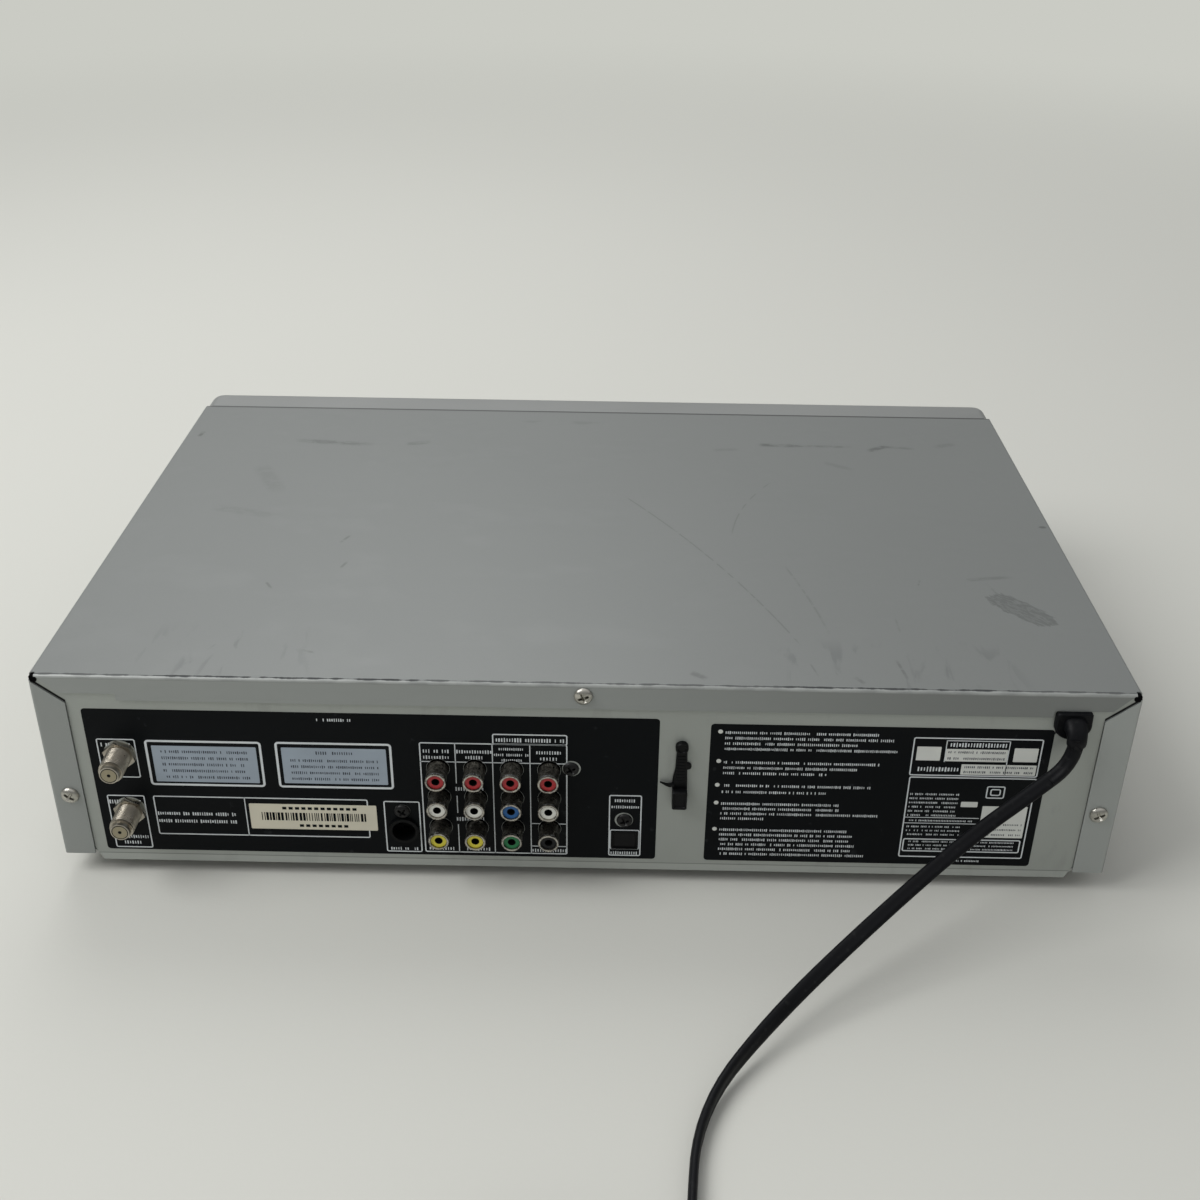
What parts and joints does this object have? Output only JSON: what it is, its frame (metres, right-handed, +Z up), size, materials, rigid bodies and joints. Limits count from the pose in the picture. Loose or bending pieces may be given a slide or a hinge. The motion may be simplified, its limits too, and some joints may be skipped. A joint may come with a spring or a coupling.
{
  "type": "disc and tape player",
  "caption": "Flat grey player case with a disc tray, a cassette flap, working deck mechanisms, rows of phono jacks on its back and a coiled mains cord",
  "frame": {"origin": "middle of the footprint of the case with its connectors and buttons, on the floor under the feet", "axes": "+X to the right seen from the front, +Y to the rear, +Z up"},
  "size_m": [0.43, 0.5625, 0.0975],
  "materials": {
    "cover_paint": "satin",
    "rear_steel": "satin",
    "pan_steel": "satin",
    "bezel_plastic": "satin",
    "key_plastic": "satin",
    "flap_plastic": "satin",
    "window_plastic": "gloss",
    "foot_rubber": "matte",
    "screw_steel": "polished",
    "black_screw": "satin",
    "nickel": "polished",
    "insert_red": "satin",
    "insert_white": "satin",
    "insert_yellow": "satin",
    "insert_mixed": "satin",
    "black_plastic": "satin",
    "cord_rubber": "satin",
    "board_green": "satin",
    "can_steel": "satin",
    "deck_steel": "satin",
    "basket_steel": "satin",
    "runner_plastic": "satin",
    "drum_alloy": "polished",
    "shaft_steel": "polished",
    "roller_rubber": "matte",
    "reel_plastic": "satin",
    "arm_plastic": "satin",
    "loader_plastic": "satin",
    "tray_plastic": "satin",
    "gear_plastic": "satin",
    "sled_alloy": "satin",
    "blade_brass": "polished"
  },
  "bodies": {
    "case": {"chassis_pan": "pan_steel", "rear_panel": "rear_steel", "top_cover": "cover_paint", "front_bezel": "bezel_plastic", "display_window": "window_plastic", "rubber_feet": "foot_rubber", "cover_screws": "screw_steel", "panel_screws": "black_screw", "cord_bushing": "black_plastic", "cord_clip": "black_plastic", "antenna_connectors": "nickel", "rca_shells": "nickel", "rca_inserts_red": "insert_red", "rca_inserts_white": "insert_white", "rca_inserts_yellow": "insert_yellow", "rca_inserts_mixed": "insert_mixed", "svideo_socket": "black_plastic", "optical_socket": "black_plastic", "main_board": "board_green", "power_board": "board_green", "front_board": "board_green", "tuner_can": "can_steel", "deck_plate": "deck_steel", "carriage_frame": "deck_steel", "drum_base": "drum_alloy", "tape_heads": "drum_alloy", "loader_frame": "loader_plastic", "loader_bridge": "deck_steel", "mains_cord": "cord_rubber", "cord_coil": "cord_rubber", "cord_tie": "cord_rubber", "plug_body": "cord_rubber", "plug_blades": "blade_brass"},
    "flap": {"cassette_flap": "flap_plastic"},
    "runner": {"carriage_runner": "runner_plastic"},
    "basket": {"cassette_basket": "basket_steel"},
    "drum": {"head_drum": "drum_alloy"},
    "capstan": {"capstan": "shaft_steel"},
    "pinch_arm": {"pinch_arm": "deck_steel"},
    "pinch_roller": {"pinch_roller": "roller_rubber"},
    "supply_reel": {"supply_reel": "reel_plastic"},
    "takeup_reel": {"takeup_reel": "reel_plastic"},
    "arm_left": {"loading_arm_left": "arm_plastic"},
    "arm_right": {"loading_arm_right": "arm_plastic"},
    "tray": {"disc_tray": "tray_plastic", "tray_front": "key_plastic"},
    "tray_gear": {"tray_gear": "gear_plastic"},
    "puck": {"clamp_puck": "gear_plastic"},
    "traverse": {"traverse_frame": "loader_plastic"},
    "spindle": {"spindle_turntable": "loader_plastic"},
    "sled": {"pickup_sled": "sled_alloy"},
    "sled_screw": {"sled_screw": "gear_plastic"},
    "shutter": {"optical_shutter": "black_plastic"},
    "power_button": {"power_button": "key_plastic"},
    "stop_eject_button": {"stop_eject_button": "key_plastic"},
    "rewind_button": {"rewind_button": "key_plastic"},
    "play_button": {"play_button": "key_plastic"},
    "forward_button": {"forward_button": "key_plastic"},
    "record_button": {"record_button": "key_plastic"},
    "tray_button": {"tray_button": "key_plastic"}
  },
  "joints": [
    {"name": "flap_hinge", "type": "hinge", "parent": "case", "child": "flap", "pos_m": [-0.103, -0.1516, 0.088], "axis": [1, 0, 0], "range_deg": [0, 80], "stiffness_Nm_per_rad": 0.02},
    {"name": "runner_slide", "type": "slide", "parent": "case", "child": "runner", "axis": [0, 1, 0], "range_m": [0, 0.06]},
    {"name": "basket_slide", "type": "slide", "parent": "runner", "child": "basket", "axis": [0, 0, -1], "range_m": [0, 0.02]},
    {"name": "drum_spin", "type": "hinge", "parent": "case", "child": "drum", "pos_m": [-0.103, 0.08, 0.0255], "axis": [0, -0.1045, 0.9945], "continuous": true},
    {"name": "capstan_spin", "type": "hinge", "parent": "case", "child": "capstan", "pos_m": [-0.034, 0.042, 0.03], "axis": [0, 0, 1], "continuous": true},
    {"name": "pinch_pivot", "type": "hinge", "parent": "case", "child": "pinch_arm", "pos_m": [-0.016, 0.066, 0.03], "axis": [0, 0, 1], "range_deg": [-21, 0], "stiffness_Nm_per_rad": 0.05},
    {"name": "pinch_roller_spin", "type": "hinge", "parent": "pinch_arm", "child": "pinch_roller", "pos_m": [-0.02038, 0.04485, 0.042], "axis": [0, 0, 1], "continuous": true},
    {"name": "supply_reel_spin", "type": "hinge", "parent": "case", "child": "supply_reel", "pos_m": [-0.1491, -0.048, 0.03], "axis": [0, 0, 1], "continuous": true},
    {"name": "takeup_reel_spin", "type": "hinge", "parent": "case", "child": "takeup_reel", "pos_m": [-0.0569, -0.048, 0.03], "axis": [0, 0, 1], "continuous": true},
    {"name": "arm_right_swing", "type": "hinge", "parent": "case", "child": "arm_right", "pos_m": [-0.079, 0.038, 0.025], "axis": [0, 0, 1], "range_deg": [0, 165]},
    {"name": "arm_left_swing", "type": "hinge", "parent": "case", "child": "arm_left", "pos_m": [-0.127, 0.038, 0.025], "axis": [0, 0, 1], "range_deg": [-165, 0]},
    {"name": "tray_slide", "type": "slide", "parent": "case", "child": "tray", "axis": [0, -1, 0], "range_m": [0, 0.14]},
    {"name": "tray_gear_spin", "type": "hinge", "parent": "case", "child": "tray_gear", "pos_m": [0.02637, -0.117, 0.074], "axis": [0, 0, 1], "continuous": true},
    {"name": "puck_spin", "type": "hinge", "parent": "case", "child": "puck", "pos_m": [0.105, -0.076, 0.085], "axis": [0, 0, 1], "continuous": true},
    {"name": "traverse_tilt", "type": "hinge", "parent": "case", "child": "traverse", "pos_m": [0.105, 0.038, 0.058], "axis": [1, 0, 0], "range_deg": [0, 4]},
    {"name": "spindle_spin", "type": "hinge", "parent": "traverse", "child": "spindle", "pos_m": [0.105, -0.076, 0.065], "axis": [0, 0, 1], "continuous": true},
    {"name": "sled_slide", "type": "slide", "parent": "traverse", "child": "sled", "axis": [0, 1, 0], "range_m": [0, 0.034]},
    {"name": "sled_screw_spin", "type": "hinge", "parent": "traverse", "child": "sled_screw", "pos_m": [0.145, -0.03, 0.065], "axis": [0, 1, 0], "continuous": true},
    {"name": "shutter_hinge", "type": "hinge", "parent": "case", "child": "shutter", "pos_m": [-0.0172, 0.1391, 0.0252], "axis": [-1, 0, 0], "range_deg": [0, 80], "stiffness_Nm_per_rad": 0.0005},
    {"name": "power_press", "type": "slide", "parent": "case", "child": "power_button", "axis": [0, 1, 0], "range_m": [0, 0.001], "stiffness_N_per_m": 300},
    {"name": "stop_eject_press", "type": "slide", "parent": "case", "child": "stop_eject_button", "axis": [0, 1, 0], "range_m": [0, 0.001], "stiffness_N_per_m": 300},
    {"name": "rewind_press", "type": "slide", "parent": "case", "child": "rewind_button", "axis": [0, 1, 0], "range_m": [0, 0.001], "stiffness_N_per_m": 300},
    {"name": "play_press", "type": "slide", "parent": "case", "child": "play_button", "axis": [0, 1, 0], "range_m": [0, 0.001], "stiffness_N_per_m": 300},
    {"name": "forward_press", "type": "slide", "parent": "case", "child": "forward_button", "axis": [0, 1, 0], "range_m": [0, 0.001], "stiffness_N_per_m": 300},
    {"name": "record_press", "type": "slide", "parent": "case", "child": "record_button", "axis": [0, 1, 0], "range_m": [0, 0.001], "stiffness_N_per_m": 300},
    {"name": "tray_press", "type": "slide", "parent": "case", "child": "tray_button", "axis": [0, 1, 0], "range_m": [0, 0.001], "stiffness_N_per_m": 300}
  ],
  "couplings": [
    {"joint": "arm_left_swing", "follows": "arm_right_swing", "ratio": -1},
    {"joint": "tray_gear_spin", "follows": "tray_slide", "rad_per_m": -84.21},
    {"joint": "sled_screw_spin", "follows": "sled_slide", "rad_per_m": 2094.4}
  ]
}
